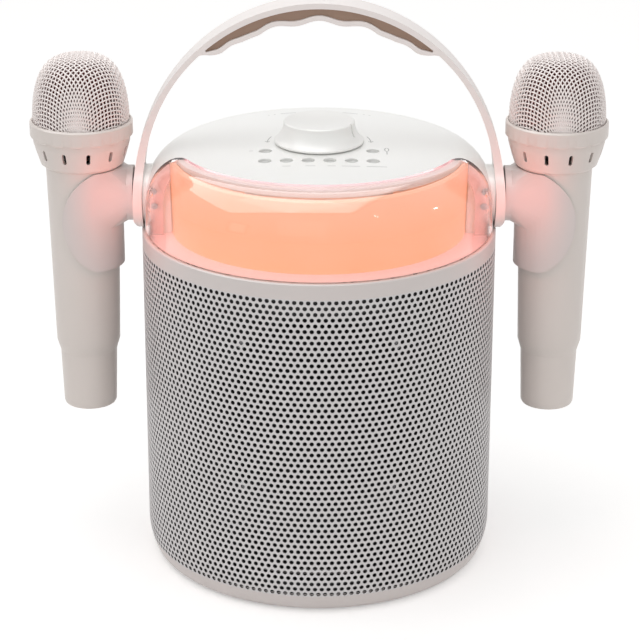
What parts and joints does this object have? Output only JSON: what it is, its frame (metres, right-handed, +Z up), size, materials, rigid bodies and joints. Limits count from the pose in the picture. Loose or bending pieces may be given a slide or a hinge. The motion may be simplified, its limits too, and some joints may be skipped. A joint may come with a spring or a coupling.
{
  "type": "portable karaoke speaker",
  "caption": "Cylindrical karaoke speaker with perforated body, lit chamber behind a clear window, folding arch handle, knob, push buttons and clipped microphones.",
  "frame": {"origin": "on the table under the axis of the perforated tube", "axes": "+X to the viewer's right along the handle's axis, +Y to the rear, +Z up"},
  "size_m": [0.2584, 0.16, 0.2608],
  "materials": {
    "white_shell": "moulded, satin gloss",
    "warm_shell": "moulded, fine satin",
    "perforated_steel": "powder coated, perforated",
    "clear_shell": "clear, polished",
    "lamp_diffuser": "translucent, lit from inside",
    "lamp_parts": "clear lenses",
    "black_shell": "moulded, fine grain",
    "magnet": "black oxide",
    "circuit_board": "solder mask",
    "white_board": "white solder mask",
    "cell_wrap": "shrink wrap",
    "screw_steel": "zinc plated",
    "foot_rubber": "moulded",
    "grip_pad": "soft touch",
    "mic_shell": "moulded, satin",
    "mic_mesh": "woven wire, coated",
    "mic_foam": "open cell foam"
  },
  "bodies": {
    "root": {"base_tray": "warm_shell", "rubber_feet": "foot_rubber", "base_screws": "screw_steel", "grille_tube": "perforated_steel", "grille_band": "warm_shell", "inner_cabinet": "black_shell", "woofer_frame": "black_shell", "woofer_cone": "black_shell", "woofer_magnet": "magnet", "woofer_screws": "screw_steel", "battery_pack": "cell_wrap", "main_board": "circuit_board", "port_panel": "black_shell", "chamber_floor": "white_shell", "led_board": "white_board", "lamp_leds": "lamp_parts", "lamp_drum": "lamp_diffuser", "clear_window": "clear_shell", "window_screws": "screw_steel", "top_cap": "white_shell", "control_board": "circuit_board", "tact_switches": "black_shell", "knob_encoder": "screw_steel", "board_screws": "screw_steel", "pivot_shafts": "screw_steel", "clip_left": "warm_shell", "clip_right": "warm_shell", "clip_screws": "screw_steel"},
    "handle": {"handle_arch": "warm_shell", "grip_pads": "grip_pad"},
    "volume_knob": {"knob": "white_shell", "knob_shaft": "screw_steel"},
    "body_button_row_1": {"button_row_1": "white_shell"},
    "body_button_row_2": {"button_row_2": "white_shell"},
    "body_button_row_3": {"button_row_3": "white_shell"},
    "body_button_row_4": {"button_row_4": "white_shell"},
    "body_button_row_5": {"button_row_5": "white_shell"},
    "body_button_row_6": {"button_row_6": "white_shell"},
    "body_button_left": {"button_left": "white_shell"},
    "body_button_right": {"button_right": "white_shell"},
    "microphone_left": {"mic_left_tail": "mic_shell", "mic_left_barrel": "mic_shell", "mic_left_cup": "mic_shell", "mic_left_collar": "mic_shell", "mic_left_mesh": "mic_mesh", "mic_left_foam": "mic_foam", "mic_left_capsule": "screw_steel", "mic_left_board": "circuit_board", "mic_left_cell": "cell_wrap"},
    "microphone_right": {"mic_right_tail": "mic_shell", "mic_right_barrel": "mic_shell", "mic_right_cup": "mic_shell", "mic_right_collar": "mic_shell", "mic_right_mesh": "mic_mesh", "mic_right_foam": "mic_foam", "mic_right_capsule": "screw_steel", "mic_right_board": "circuit_board", "mic_right_cell": "cell_wrap"}
  },
  "joints": [
    {"name": "handle_fold", "type": "hinge", "parent": "root", "child": "handle", "pos_m": [0, 0, 0.1719], "axis": [1, 0, 0], "range_deg": [-90, 90]},
    {"name": "knob_turn", "type": "hinge", "parent": "root", "child": "volume_knob", "pos_m": [0, 0, 0.2], "axis": [0, 0, 1], "range_deg": [-150, 150]},
    {"name": "press_button_row_1", "type": "slide", "parent": "root", "child": "body_button_row_1", "axis": [0, 0, -1], "range_m": [0, 0.0008], "stiffness_N_per_m": 800},
    {"name": "press_button_row_2", "type": "slide", "parent": "root", "child": "body_button_row_2", "axis": [0, 0, -1], "range_m": [0, 0.0008], "stiffness_N_per_m": 800},
    {"name": "press_button_row_3", "type": "slide", "parent": "root", "child": "body_button_row_3", "axis": [0, 0, -1], "range_m": [0, 0.0008], "stiffness_N_per_m": 800},
    {"name": "press_button_row_4", "type": "slide", "parent": "root", "child": "body_button_row_4", "axis": [0, 0, -1], "range_m": [0, 0.0008], "stiffness_N_per_m": 800},
    {"name": "press_button_row_5", "type": "slide", "parent": "root", "child": "body_button_row_5", "axis": [0, 0, -1], "range_m": [0, 0.0008], "stiffness_N_per_m": 800},
    {"name": "press_button_row_6", "type": "slide", "parent": "root", "child": "body_button_row_6", "axis": [0, 0, -1], "range_m": [0, 0.0008], "stiffness_N_per_m": 800},
    {"name": "press_button_left", "type": "slide", "parent": "root", "child": "body_button_left", "axis": [0, 0, -1], "range_m": [0, 0.0008], "stiffness_N_per_m": 800},
    {"name": "press_button_right", "type": "slide", "parent": "root", "child": "body_button_right", "axis": [0, 0, -1], "range_m": [0, 0.0008], "stiffness_N_per_m": 800},
    {"name": "lift_microphone_left", "type": "slide", "parent": "root", "child": "microphone_left", "axis": [0, 0, 1], "range_m": [0, 0.12]},
    {"name": "lift_microphone_right", "type": "slide", "parent": "root", "child": "microphone_right", "axis": [0, 0, 1], "range_m": [0, 0.12]}
  ]
}
